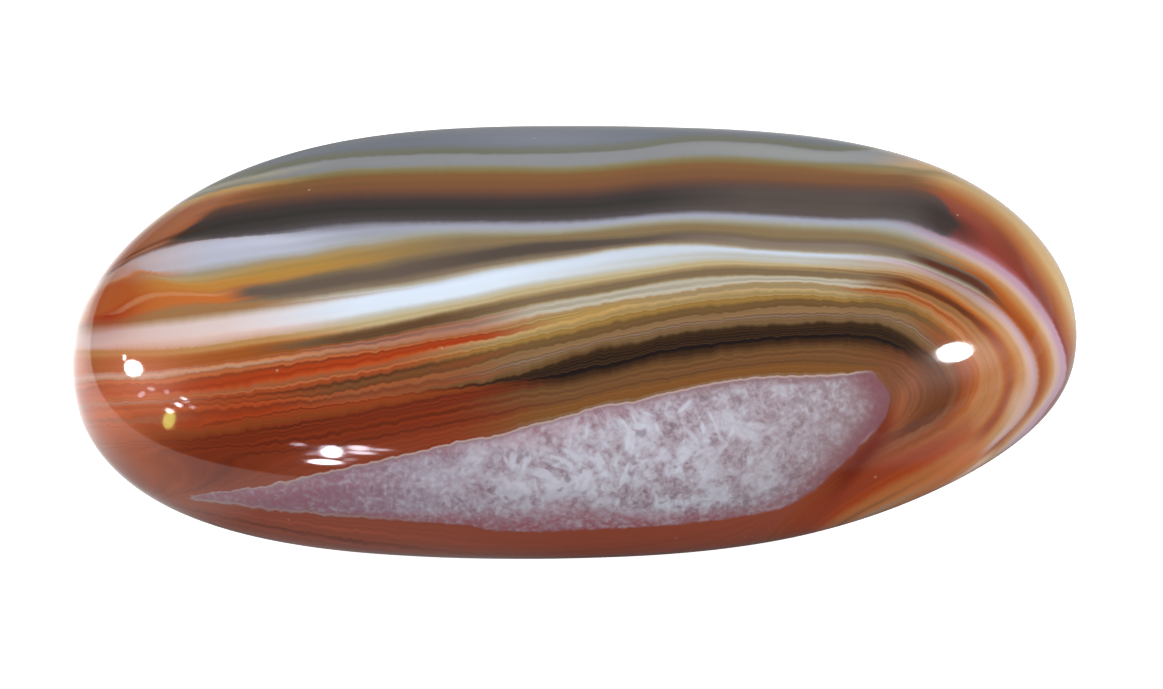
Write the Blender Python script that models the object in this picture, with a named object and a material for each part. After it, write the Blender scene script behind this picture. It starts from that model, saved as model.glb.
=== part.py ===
"""Agate palm stone: one polished, flattened oval pebble that rests on a small flat spot.

Metres, +Z up. The origin is the middle of the stone's footprint, on the surface that it rests on.
X runs along the stone's length and Y across its width.
"""
import math

import bmesh
import bpy
from mathutils import Vector

NAME = "agate_palm_stone"

# Driving dimensions in metres
LENGTH = 0.0752
WIDTH = 0.0350
CROWN_HEIGHT = 0.0125
BELLY_DEPTH = 0.0105
FLAT_DEPTH = 0.00015

# Exponents of the rounded form: 2 is an ellipse, and a larger value is fuller at the corners
PLAN_FULLNESS = 2.2
SIDE_FULLNESS = 2.4

# Unevenness of the hand-ground outline, as (lobes around the stone, cosine swell, sine swell);
# the swells are in metres at the stone's tips
OUTLINE_SWELLS = (
    (3, 0.00040, 0.0),
    (4, -0.00040, 0.00040),
    (5, 0.0, -0.00020),
    (6, 0.00015, -0.00025),
)

# Facets along each edge of the cube that is blown up into the stone
FACETS_PER_EDGE = 20

AGATE_COLOUR = (0.29, 0.155, 0.085, 1.0)
AGATE_ROUGHNESS = 0.08


def clear_scene():
    for scene_object in list(bpy.data.objects):
        bpy.data.objects.remove(scene_object, do_unlink=True)


def outline_factor(angle):
    """How much wider than the plain rounded form the stone is, at an angle around its plan."""
    tip = LENGTH / 2
    factor = 1.0
    for lobes, cosine_swell, sine_swell in OUTLINE_SWELLS:
        factor += cosine_swell / tip * math.cos(lobes * angle)
        factor += sine_swell / tip * math.sin(lobes * angle)
    return factor


def stone_point(direction):
    """The point of the stone's surface that a unit direction from its middle leads to."""
    along = abs(direction.x) ** PLAN_FULLNESS
    across = abs(direction.y) ** PLAN_FULLNESS
    plan = (along + across) ** (SIDE_FULLNESS / PLAN_FULLNESS)
    reach = (plan + abs(direction.z) ** SIDE_FULLNESS) ** (-1 / SIDE_FULLNESS)
    angle = math.atan2(
        math.copysign(math.sqrt(across), direction.y),
        math.copysign(math.sqrt(along), direction.x),
    )
    spread = reach * outline_factor(angle)
    height = CROWN_HEIGHT if direction.z > 0 else BELLY_DEPTH
    return Vector((
        LENGTH / 2 * direction.x * spread,
        WIDTH / 2 * direction.y * spread,
        height * direction.z * reach,
    ))


def even_direction(corner):
    """Turn a point on the cube from -1 to 1 into a direction, with even angles between neighbours."""
    return Vector([math.tan(value * math.pi / 4) for value in corner]).normalized()


def round_body(mesh):
    """A finely divided cube, blown up into the rounded form."""
    bmesh.ops.create_cube(mesh, size=2.0)
    bmesh.ops.subdivide_edges(mesh, edges=mesh.edges[:], cuts=FACETS_PER_EDGE - 1, use_grid_fill=True)
    for vertex in mesh.verts:
        vertex.co = stone_point(even_direction(vertex.co))


def grind_flat(mesh):
    """Take off the lowest part of the belly and close it with one flat face."""
    geometry = mesh.verts[:] + mesh.edges[:] + mesh.faces[:]
    level = Vector((0.0, 0.0, FLAT_DEPTH - BELLY_DEPTH))
    bmesh.ops.bisect_plane(mesh, geom=geometry, plane_co=level, plane_no=(0, 0, -1), clear_outer=True)
    rim = [edge for edge in mesh.edges if edge.is_boundary]
    bmesh.ops.edgeloop_fill(mesh, edges=rim)
    bmesh.ops.recalc_face_normals(mesh, faces=mesh.faces[:])


def stand_on_origin(mesh):
    """Move the stone so that the origin is under the middle of its outer box."""
    low = [min(vertex.co[axis] for vertex in mesh.verts) for axis in range(3)]
    high = [max(vertex.co[axis] for vertex in mesh.verts) for axis in range(3)]
    middle = Vector(((low[0] + high[0]) / 2, (low[1] + high[1]) / 2, low[2]))
    bmesh.ops.translate(mesh, verts=mesh.verts[:], vec=-middle)


def polished_agate():
    material = bpy.data.materials.new("polished_agate")
    material.use_nodes = True
    shader = material.node_tree.nodes["Principled BSDF"]
    shader.inputs["Base Color"].default_value = AGATE_COLOUR
    shader.inputs["Roughness"].default_value = AGATE_ROUGHNESS
    shader.inputs["Metallic"].default_value = 0.0
    return material


def palm_stone(collection):
    surface = bmesh.new()
    round_body(surface)
    grind_flat(surface)
    stand_on_origin(surface)
    mesh = bpy.data.meshes.new(NAME)
    surface.to_mesh(mesh)
    surface.free()
    mesh.shade_smooth()
    mesh.set_sharp_from_angle(angle=math.radians(30))
    mesh.materials.append(polished_agate())
    stone = bpy.data.objects.new(NAME, mesh)
    collection.objects.link(stone)
    return stone


def main():
    clear_scene()
    collection = bpy.data.collections.new("Agate palm stone")
    bpy.context.scene.collection.children.link(collection)
    palm_stone(collection)


main()
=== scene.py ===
"""Looks of the agate palm stone: a finely divided copy of its surface that carries the stone's bands.

Metres, +Z up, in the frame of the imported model. A place in the photograph is a pixel (x, y) of its
1163 x 689 frame, x to the right and y down. A level numbers the bands from the outside in: band 7 runs
from level 7 at its outer edge to level 8 at its inner edge, and the quartz core starts at level 16.
"""
import math

import bmesh
import bpy
import numpy as np
from mathutils import Matrix, Vector


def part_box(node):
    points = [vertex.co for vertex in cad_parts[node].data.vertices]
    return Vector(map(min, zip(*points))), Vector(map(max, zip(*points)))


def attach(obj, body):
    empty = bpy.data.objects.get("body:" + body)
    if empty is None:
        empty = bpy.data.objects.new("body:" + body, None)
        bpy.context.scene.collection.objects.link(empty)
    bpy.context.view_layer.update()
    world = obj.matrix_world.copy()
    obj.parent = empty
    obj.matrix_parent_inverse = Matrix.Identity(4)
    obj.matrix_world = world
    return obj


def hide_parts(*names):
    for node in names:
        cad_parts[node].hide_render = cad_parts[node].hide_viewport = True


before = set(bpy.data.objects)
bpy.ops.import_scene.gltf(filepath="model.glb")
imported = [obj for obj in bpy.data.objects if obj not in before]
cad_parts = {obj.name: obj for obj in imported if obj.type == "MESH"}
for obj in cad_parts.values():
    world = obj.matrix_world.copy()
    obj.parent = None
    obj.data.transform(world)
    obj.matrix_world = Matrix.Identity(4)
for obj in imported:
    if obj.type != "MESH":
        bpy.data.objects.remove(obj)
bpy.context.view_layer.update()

STONE_NODE = "agate_palm_stone"

# Camera: the photograph's frame and the viewing angle that it was taken from
PHOTO_WIDTH = 1163
PHOTO_HEIGHT = 689
CAMERA_ELEVATION = math.radians(52.5)
CAMERA_AZIMUTH = math.radians(-2.8)
CAMERA_DISTANCE = 0.450
CAMERA_TO_THE_RIGHT = 0.000892
CAMERA_UPWARDS = -0.000069
SENSOR_WIDTH = 36.0
LENS = 187.15
CAMERA_NEAR = 0.01
CAMERA_FAR = 50.0
FOCAL_PIXELS = LENS / SENSOR_WIDTH * PHOTO_WIDTH

# The rounded form, as in the CAD part, in metres
LENGTH = 0.0752
WIDTH = 0.0350
CROWN_HEIGHT = 0.0125
BELLY_DEPTH = 0.0105
FLAT_DEPTH = 0.00015
PLAN_FULLNESS = 2.2
SIDE_FULLNESS = 2.4

# Unevenness of the outline, as (lobes around the stone, cosine swell, sine swell)
OUTLINE_SWELLS = (
    (3, 0.00040, 0.0),
    (4, -0.00040, 0.00040),
    (5, 0.0, -0.00020),
    (6, 0.00015, -0.00025),
)

# Facets along X, Y and Z of the cube that is blown up into the stone
FACETS_ALONG_AXES = (208, 112, 80)

# Slight unevenness that hand polishing leaves, in metres
POLISH_WAVE_HEIGHT = 0.000012
POLISH_WAVELENGTH = 0.009
POLISH_SEED = 3

# Soft noise: how many waves it adds up, and the range of their lengths around the one asked for
NOISE_WAVES = 28
NOISE_WAVE_SPREAD = (0.7, 1.5)

# Bands seen in the photograph, as closed rings around a point in the quartz core. Each ring is read off
# the picture from its left end, over the top, to its lower right; the side that faces the floor is shared.
HEART = (560, 470)
RING_FLATNESS = 0.35
OUTER_GREY_EDGE = (
    (-120, 420), (60, 230), (260, 130), (560, 98), (940, 135), (1040, 190), (1040, 510), (940, 570),
)
OLIVE_LINE = (
    (-90, 420), (60, 262), (110, 236), (200, 189), (260, 172), (300, 163), (420, 153), (520, 153),
    (640, 147), (680, 141), (760, 142), (840, 150), (880, 148), (930, 157), (1000, 192), (1060, 245),
    (1080, 440), (1000, 505), (920, 550),
)
HONEY_BAND_EDGE = (
    (-70, 420), (150, 220), (170, 208), (220, 190), (300, 177), (340, 171), (380, 169), (500, 167),
    (560, 168), (720, 157), (800, 162), (920, 168), (945, 170), (965, 176), (1020, 213), (1050, 250),
    (1070, 430), (1000, 495), (920, 545),
)
CHARCOAL_BAND_EDGE = (
    (-50, 420), (110, 262), (200, 215), (220, 208), (240, 205), (340, 194), (400, 193), (560, 192),
    (600, 190), (640, 185), (840, 187), (935, 194), (968, 210), (1032, 275), (1060, 330), (1068, 355),
    (1040, 428), (900, 540),
)
MILK_BAND_EDGE = (
    (-40, 420), (80, 302), (100, 281), (160, 248), (280, 232), (360, 223), (400, 222), (600, 219),
    (680, 212), (840, 218), (900, 220), (940, 235), (980, 254), (1056, 330), (1062, 384), (1052, 400),
    (970, 485), (900, 532),
)
SAND_BAND_EDGE = (
    (-30, 420), (75, 316), (98, 291), (110, 283), (130, 277), (150, 273), (165, 277), (180, 277),
    (280, 263), (320, 257), (340, 252), (380, 246), (420, 238), (560, 233), (680, 222), (800, 227),
    (880, 232), (960, 258), (1036, 322), (1050, 384), (1030, 416), (890, 524),
)
UMBER_BAND_EDGE = (
    (-22, 420), (75, 324), (95, 316), (114, 313), (125, 307), (150, 295), (225, 293), (240, 288),
    (280, 283), (340, 272), (380, 267), (400, 262), (480, 249), (520, 243), (640, 236), (680, 232),
    (740, 235), (760, 238), (880, 244), (945, 262), (985, 281), (1003, 300), (1038, 343), (1033, 406),
    (1018, 424), (880, 520),
)
WHITE_BAND_EDGE = (
    (-15, 420), (60, 333), (90, 324), (120, 322), (240, 309), (360, 293), (440, 281), (480, 272),
    (580, 256), (620, 249), (700, 245), (740, 248), (800, 252), (900, 260), (940, 275), (1000, 309),
    (1026, 340), (1038, 373), (1020, 421), (990, 452), (970, 465), (945, 482), (875, 516),
)
GOLD_LINE_EDGE = (
    (-10, 425), (30, 360), (60, 351), (140, 350), (260, 337), (440, 306), (480, 299), (500, 294),
    (660, 267), (700, 261), (780, 263), (860, 268), (900, 272), (980, 312), (1019, 362), (1012, 405),
    (985, 444), (950, 469), (865, 514),
)
BROWN_LINE_EDGE = (
    (0, 430), (30, 376), (90, 359), (140, 358), (260, 345), (540, 293), (620, 279), (740, 265), (780, 267),
    (860, 272), (900, 276), (920, 283), (980, 319), (1013, 368), (1009, 396), (982, 436), (945, 463),
    (860, 510),
)
CREAM_LINE_EDGE = (
    (8, 435), (30, 390), (90, 371), (140, 370), (220, 360), (300, 348), (380, 336), (420, 327), (460, 320),
    (540, 302), (620, 289), (660, 281), (820, 277), (900, 285), (920, 292), (990, 344), (999, 400),
    (982, 424), (928, 465), (900, 479), (850, 508),
)
RUST_LINE_EDGE = (
    (15, 438), (30, 402), (90, 378), (140, 377), (180, 371), (260, 361), (340, 350), (380, 346), (420, 339),
    (500, 326), (540, 316), (580, 309), (620, 301), (660, 296), (700, 289), (780, 282), (860, 288),
    (900, 291), (940, 309), (972, 337), (987, 393), (942, 444), (892, 472), (840, 504),
)
STRIPED_BAND_EDGE = (
    (20, 440), (35, 415), (60, 400), (90, 397), (200, 390), (240, 384), (300, 373), (340, 367), (460, 342),
    (500, 336), (540, 326), (580, 317), (620, 305), (660, 300), (700, 293), (780, 287), (860, 293),
    (900, 297), (920, 305), (955, 329), (978, 393), (948, 429), (906, 454), (830, 500),
)
LILAC_BROWN_EDGE = (
    (25, 443), (40, 424), (60, 410), (90, 408), (200, 404), (280, 398), (380, 382), (420, 374), (460, 366),
    (500, 354), (580, 337), (700, 313), (740, 309), (780, 304), (820, 304), (900, 310), (920, 319),
    (965, 367), (968, 380), (936, 428), (892, 451), (820, 494),
)
BLACK_BAND_EDGE = (
    (30, 446), (45, 432), (100, 424), (160, 426), (220, 419), (300, 407), (460, 385), (500, 378),
    (560, 359), (600, 347), (640, 341), (660, 336), (780, 324), (880, 324), (920, 346), (945, 375),
    (948, 400), (930, 422), (912, 431), (866, 455), (840, 472), (780, 520),
)
TOBACCO_BAND_EDGE = (
    (45, 452), (90, 442), (160, 440), (220, 434), (300, 421), (440, 395), (520, 382), (580, 375),
    (620, 366), (680, 352), (700, 350), (740, 344), (820, 339), (860, 339), (920, 364), (930, 409),
    (882, 438), (835, 472), (790, 505), (765, 530),
)
QUARTZ_EDGE = (
    (192, 496), (221, 491), (250, 487), (280, 481), (310, 474), (345, 467), (380, 459), (420, 450),
    (460, 440), (500, 434), (530, 424), (570, 414), (602, 405), (640, 399), (680, 389), (720, 381),
    (760, 376), (800, 375), (840, 373), (868, 371), (878, 380), (890, 398), (888, 408), (862, 444),
    (830, 474), (798, 499), (776, 509), (738, 516), (580, 529), (500, 530), (450, 523), (260, 508),
    (215, 502),
)
BAND_EDGES = (
    OUTER_GREY_EDGE, OLIVE_LINE, HONEY_BAND_EDGE, CHARCOAL_BAND_EDGE, MILK_BAND_EDGE, SAND_BAND_EDGE,
    UMBER_BAND_EDGE, WHITE_BAND_EDGE, GOLD_LINE_EDGE, BROWN_LINE_EDGE, CREAM_LINE_EDGE, RUST_LINE_EDGE,
    STRIPED_BAND_EDGE, LILAC_BROWN_EDGE, BLACK_BAND_EDGE, TOBACCO_BAND_EDGE,
)
QUARTZ_LEVEL = len(BAND_EDGES)
FLOOR_SIDE = (
    (740, 548), (640, 575), (520, 585), (400, 585), (280, 570), (190, 545), (120, 505), (80, 470),
)
FLOOR_SIDE_SPREAD = 0.03

# Pixels: the least width of a band, and the width of a level outside the first ring and in the core
THINNEST_BAND = 0.8
OUTSIDE_LEVEL_PIXELS = 50
CORE_LEVEL_PIXELS = 20

# Where the stain of the bands changes along their length, as (level, x in the photograph, half the
# softness of the front in pixels)
LEFT_FRONT = (
    (-1.6, 180, 50), (0.9, 230, 50), (1.2, 290, 50), (1.9, 265, 60), (2.1, 255, 60), (2.95, 225, 40),
    (3.02, 205, 9), (3.5, 172, 9), (3.97, 160, 9), (4.05, 300, 40), (4.9, 350, 80), (5.1, 300, 120),
    (5.9, 280, 90), (6.05, 236, 16), (6.35, 232, 16), (6.6, 250, 30), (6.95, 290, 50), (7.05, 400, 60),
    (7.3, 330, 60), (7.95, 310, 70), (8.1, 330, 60), (9.0, 330, 60), (9.1, 290, 40), (9.95, 290, 40),
    (10.1, 465, 80), (10.95, 500, 70), (11.1, 520, 50), (11.95, 520, 50), (12.1, 450, 70), (13.9, 450, 70),
    (14.05, 440, 50), (14.3, 440, 50), (14.9, 530, 50), (15.1, 500, 60), (16.0, 500, 60),
)
RIGHT_FRONT = (
    (-1.6, 900, 40), (1.9, 900, 40), (2.1, 930, 30), (2.95, 936, 20), (3.03, 938, 6), (3.5, 960, 6),
    (3.97, 948, 6), (4.05, 930, 60), (4.95, 940, 50), (5.1, 950, 40), (5.95, 960, 30), (6.05, 990, 20),
    (6.95, 985, 16), (7.05, 880, 60), (8.9, 900, 40), (9.1, 900, 30), (10.0, 896, 30), (10.9, 880, 30),
    (11.1, 860, 30), (11.95, 870, 30), (12.1, 940, 40), (13.0, 934, 36), (13.9, 934, 30), (14.05, 930, 20),
    (14.95, 922, 24), (15.1, 880, 40), (16.0, 870, 30),
)

# The stain runs further in some thin layers than in others, by about this share of its softness
FRONT_LAYER_SCALE = 2.6
FRONT_LAYER_RUN = 1.8

# Below this line the bands turn under the stone and take the warmer stain of its lower side, lightened
# there with painted light that stands for the light the floor bounces up
LOWER_LINE = (
    (60, 519), (197, 500), (800, 422), (870, 444), (933, 430), (968, 424), (1010, 482), (1080, 530),
)
LOWER_LINE_SOFTNESS = 28

# Names of the values that the surface hands to its material
LEVEL = "level"
LEVELS_PER_MM = "levels_per_mm"
ALONG = "along"
LOWER_STRETCH = "lower_stretch"
CORE_DEPTH = "core_depth"
SHOULDER = "shoulder"

# How much the level, and how little the depth in the core, may change over one pixel
LEVEL_SLOPES = (0.01, 0.3)
LEAST_CORE_SLOPE = 0.5

# On the side that the photograph doesn't show the bands drift off their course and the patches fade
HIDDEN_DRIFT_PIXELS = 40
HIDDEN_DRIFT_WAVELENGTH = 0.022
HIDDEN_DRIFT_SEEDS = (5, 6)
HIDDEN_LEVEL_SHIFT = 4.0
PATCH_FADE = 3

# Colours, 0 to 255, as they look in the photograph: set against averages along the bands
SLATE = (112, 118, 126)
SLATE_BLUE = (117, 125, 139)
OLIVE = (120, 121, 104)
PEARL = (150, 152, 155)
BUFF = (148, 142, 118)
HONEY = (138, 122, 80)
AMBER_BROWN = (137, 97, 60)
BRICK = (128, 87, 61)
COCOA = (98, 72, 62)
PLUM_BLACK = (72, 62, 61)
CHARCOAL = (61, 59, 57)
ASH = (72, 67, 65)
ASH_GREY = (88, 82, 84)
BLUE_MILK = (161, 164, 180)
MILK = (170, 173, 182)
BLUE_DUSK = (140, 138, 150)
PALE_STRAW = (163, 162, 156)
DRAB = (148, 136, 108)
STONE_GREY = (152, 126, 108)
SOOT = (76, 70, 65)
TAN_GREY = (155, 135, 99)
PALE_OCHRE = (169, 144, 98)
OCHRE_BROWN = (150, 116, 64)
DARK_TAN = (112, 86, 56)
TAN = (133, 103, 70)
TAUPE_TAN = (134, 105, 78)
DULL_BROWN = (118, 92, 67)
DARK_TAUPE = (100, 78, 54)
BARK = (72, 53, 38)
DARK_BARK = (56, 41, 29)
SOOT_BROWN = (64, 48, 34)
INK = (38, 28, 20)
INK_BROWN = (47, 35, 25)
PEAT = (76, 52, 37)
LEATHER = (122, 81, 46)
STRAW_GREY = (155, 150, 131)
SAND = (139, 119, 88)
KHAKI = (126, 108, 84)
UMBER = (106, 92, 82)
FAWN = (134, 117, 98)
WHITE = (205, 214, 227)
WARM_WHITE = (198, 202, 203)
CREAM = (196, 187, 162)
GOLD = (190, 172, 132)
BROWN = (127, 107, 83)
STONE_BEIGE = (183, 174, 156)
OLIVE_BROWN = (146, 126, 90)
WHEAT = (170, 144, 106)
COFFEE = (102, 73, 47)
TOBACCO = (112, 77, 50)
TERRACOTTA = (157, 98, 66)
SALMON = (183, 122, 92)
PEACH = (216, 156, 112)
APRICOT_AND_PAINTED_LIGHT = (226, 178, 122)
EMBER_AND_PAINTED_LIGHT = (238, 138, 100)
GOLDEN = (182, 142, 70)
ORANGE = (200, 118, 58)
ORANGE_RED = (200, 114, 58)
TAWNY = (184, 140, 88)
CINNAMON = (157, 87, 42)
SHELL_WHITE = (225, 206, 203)
SHELL_PINK = (219, 184, 171)
BLUE_WHITE = (194, 198, 216)
RED = (152, 70, 39)
SCARLET = (160, 61, 30)
GARNET = (145, 57, 32)
RUDDY = (164, 52, 18)
OXBLOOD = (117, 50, 32)
DEEP_OXBLOOD = (112, 40, 16)
ICE = (224, 237, 253)
CHALK = (184, 182, 172)
MIST = (168, 170, 168)
DUSK_BROWN = (102, 90, 84)
PITCH = (60, 46, 44)
NUTMEG = (138, 84, 56)
ROSE_TAN = (156, 112, 98)
DARK_COFFEE = (92, 60, 40)
DUN = (162, 120, 80)
DUN_WHITE = (188, 160, 132)
OCHRE_ORANGE = (186, 132, 80)
COPPER_BROWN = (168, 104, 54)
PALE_FAWN = (150, 136, 120)
CHERRY_BROWN = (134, 62, 40)
MADEIRA = (146, 64, 36)
DUNE = (198, 170, 128)
AMBER_ORANGE = (204, 140, 74)
OYSTER = (180, 174, 154)
STRAW_GOLD = (212, 168, 102)
DUSTY_ROSE = (182, 146, 148)
MAROON = (90, 50, 36)
BROWN_RED = (150, 77, 58)
CLAY_AND_PAINTED_LIGHT = (178, 88, 48)
BISQUE = (216, 180, 142)
MELON = (204, 136, 90)
PALE_BLUSH = (232, 194, 174)
CORAL = (198, 116, 68)
MARMALADE = (184, 109, 62)
PAPRIKA = (176, 96, 54)
HENNA = (150, 74, 48)
RUSSET = (160, 84, 48)
SIENNA = (177, 106, 68)
PALE_HONEY = (212, 174, 116)
HONEY_ORANGE = (196, 144, 84)
DEEP_ORANGE = (184, 116, 60)
BURNT_ORANGE = (170, 92, 42)
BRICK_RED = (152, 78, 56)
WINE = (140, 62, 50)
RASPBERRY = (162, 88, 88)
MAUVE = (188, 150, 168)
PINK_WHITE = (200, 168, 170)
PINK_SAND = (204, 168, 146)
SAND_ORANGE = (190, 140, 92)
RUST_ORANGE = (156, 78, 38)
MAHOGANY = (92, 54, 34)
HAZEL = (138, 98, 62)
CLAY_ROSE = (186, 126, 84)
CAMEL = (176, 116, 72)
CHESTNUT_RED = (130, 66, 36)
RUST_BROWN = (118, 70, 46)
DARK_CHESTNUT = (108, 62, 38)
BRIGHT_RUST = (172, 74, 36)
MADDER = (152, 68, 44)

# Stain of each stretch of the bands, as (level, colour), with each level where a colour stays the same; the
# right end's outer rim and the whole lower side are also lightened with painted light
MIDDLE_STAIN = (
    (-4.6, PEARL), (-4.2, SLATE_BLUE), (-3.8, SLATE), (-3.65, OLIVE), (-3.5, PEARL), (-3.1, SLATE),
    (-2.9, KHAKI), (-2.75, BLUE_MILK), (-2.3, PEARL), (-2.1, -1.75, SLATE), (-1.6, OLIVE), (-1.5, PEARL),
    (-1.15, BLUE_MILK), (-0.9, 0.2, SLATE), (0.8, SLATE_BLUE), (0.92, 1.0, OLIVE), (1.1, 1.75, PEARL),
    (1.92, BUFF), (2.1, HONEY), (2.28, AMBER_BROWN), (2.78, BRICK), (3.06, COCOA), (3.25, PLUM_BLACK),
    (3.5, CHARCOAL), (3.74, ASH), (3.92, ASH_GREY), (4.08, BLUE_DUSK), (4.3, BLUE_MILK), (4.5, MILK),
    (4.72, PALE_STRAW), (4.9, STRAW_GREY), (5.1, DRAB), (5.35, 5.65, SAND), (5.9, KHAKI),
    (6.2, 6.45, UMBER), (6.75, FAWN), (6.93, STONE_BEIGE), (7.07, 7.38, WHITE), (7.52, 7.75, WARM_WHITE),
    (7.93, CREAM), (8.15, 8.6, GOLD), (8.9, WHEAT), (9.15, OLIVE_BROWN), (9.35, 9.8, BROWN),
    (9.98, OLIVE_BROWN), (10.15, 10.8, STONE_BEIGE), (10.95, 11.1, WHEAT), (11.35, 11.85, TAN_GREY),
    (12.05, WHEAT), (12.2, 12.32, PALE_OCHRE), (12.45, 12.65, OCHRE_BROWN), (12.77, 13.05, DARK_TAN),
    (13.15, TAN), (13.24, DULL_BROWN), (13.32, TAN), (13.42, TAUPE_TAN), (13.5, DULL_BROWN),
    (13.56, STONE_GREY), (13.62, DULL_BROWN), (13.7, TAUPE_TAN), (13.78, DARK_TAN), (13.86, DULL_BROWN),
    (13.94, DARK_TAUPE), (14.05, BARK), (14.11, SOOT_BROWN), (14.15, BARK), (14.2, DARK_BARK),
    (14.27, SOOT_BROWN), (14.34, INK_BROWN), (14.42, SOOT_BROWN), (14.48, INK), (14.56, SOOT_BROWN),
    (14.63, INK_BROWN), (14.68, BARK), (14.74, 14.86, INK), (14.95, DARK_BARK), (15.08, PEAT),
    (15.2, COFFEE), (15.35, 15.55, TOBACCO), (15.75, 15.9, LEATHER), (15.97, TAUPE_TAN),
)
LEFT_STAIN = (
    (-1.6, PEARL), (0.4, 0.95, OLIVE), (1.25, OYSTER), (1.8, BUFF), (2.05, STRAW_GOLD), (2.4, 2.9, SIENNA),
    (3.9, TERRACOTTA), (4.08, 4.6, BLUE_WHITE), (4.9, STRAW_GREY), (5.15, DUNE), (5.4, AMBER_ORANGE),
    (5.9, ORANGE), (6.1, 6.4, ORANGE_RED), (6.65, 6.95, DUN), (7.1, DUN_WHITE), (7.3, 7.6, SHELL_WHITE),
    (7.85, SHELL_PINK), (8.12, 8.4, TAWNY), (8.65, OCHRE_ORANGE), (8.95, COPPER_BROWN),
    (9.25, 10.1, CINNAMON), (10.6, SIENNA), (10.95, CLAY_ROSE), (11.2, SIENNA), (11.45, RED),
    (11.9, SCARLET), (12.1, RED), (12.3, SIENNA), (12.5, 13.0, RED), (13.9, GARNET), (14.2, MADEIRA),
    (14.7, CHESTNUT_RED), (15.05, 15.4, OXBLOOD), (15.9, CHERRY_BROWN),
)
# The right end's outermost levels are its orange stain made lighter with painted light, where less light
# reaches its rim
RIGHT_STAIN_AND_RIM_LIGHT = (
    (-1.6, 1.4, APRICOT_AND_PAINTED_LIGHT), (2.1, 2.35, PALE_HONEY), (2.5, HONEY_ORANGE), (2.68, DEEP_ORANGE),
    (2.85, BURNT_ORANGE), (3.02, BRICK_RED), (3.35, 3.62, WINE), (3.85, RASPBERRY), (4.08, 4.3, MAUVE),
    (4.55, PINK_WHITE), (4.8, PINK_SAND), (5.08, SAND_ORANGE), (5.45, DEEP_ORANGE), (5.8, BURNT_ORANGE),
    (6.35, 6.7, RUST_ORANGE), (6.92, SIENNA), (7.1, DUSTY_ROSE), (7.35, PINK_WHITE), (7.6, PINK_SAND),
    (7.85, 8.15, SAND_ORANGE), (8.6, DEEP_ORANGE), (9.1, RUST_ORANGE), (9.5, BRICK_RED),
    (9.8, BURNT_ORANGE), (10.1, CAMEL), (10.4, CLAY_ROSE), (10.7, 11.9, CAMEL), (12.4, BURNT_ORANGE),
    (13.0, RUSSET), (13.3, 13.6, CHESTNUT_RED), (14.0, 15.0, DARK_CHESTNUT), (15.4, 16.0, RUST_BROWN),
)
# The lower side: its warmer stain, lightened with painted light that stands for the light the floor would
# bounce up onto it
LOWER_STAIN_AND_BOUNCE_LIGHT = (
    (-1.6, TERRACOTTA), (1.0, BUFF), (2.1, 3.7, SHELL_PINK), (4.1, 4.5, 4.9, BISQUE),
    (5.15, 5.5, PALE_BLUSH), (5.9, 6.8, MELON), (7.3, 8.0, 8.5, CORAL), (9.1, 9.5, MARMALADE),
    (9.9, PAPRIKA), (10.3, BRIGHT_RUST), (11.2, 12.4, MADDER), (13.0, 13.6, HENNA), (14.0, 15.9, BROWN_RED),
)

# Soft patches of stain, two of them partly painted light: (name, colour, patches), where a patch is (x, y,
# half length, half height, tilt in degrees, strength) in pixels
STAIN_AND_PAINTED_LIGHT_PATCHES = (
    ("pale_patches", PINK_SAND, ((1018, 403, 24, 9, 108, 0.75),)),
    ("gold_patches", DEEP_ORANGE, ((1013, 366, 22, 7, 68, 0.5),)),
    ("red_patches", OXBLOOD, (
        (1010, 249, 28, 6, 52, 0.5), (1040, 292, 30, 7, 62, 0.5), (856, 461, 40, 12, -42, 1.0),
        (886, 424, 24, 9, -70, 0.9),
    )),
    ("ruddy_patches", RUDDY, ((112, 299, 34, 24, -45, 1.3),)),
    ("crescent_patches", DEEP_OXBLOOD, ((869, 448, 50, 6, -54, 0.85),)),
    ("blue_patches", BLUE_MILK, ((545, 137, 90, 12, 0, 0.4),)),
    # Partly the far left end's orange stain and partly painted light: they brighten the end around the left
    # highlight
    ("ember_stain_and_painted_light_patches", EMBER_AND_PAINTED_LIGHT, (
        (128, 385, 60, 46, 0, 0.5), (98, 420, 50, 34, 45, 0.8), (78, 372, 34, 14, 80, 0.8),
    )),
    # Partly stain and partly painted light: lightens the lower left, which gets little light
    ("clay_stain_and_painted_light_patches", CLAY_AND_PAINTED_LIGHT, ((146, 466, 62, 24, 38, 0.75),)),
    ("brown_patches", SIENNA, ((902, 405, 9, 30, 20, 0.4),)),
)

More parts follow.
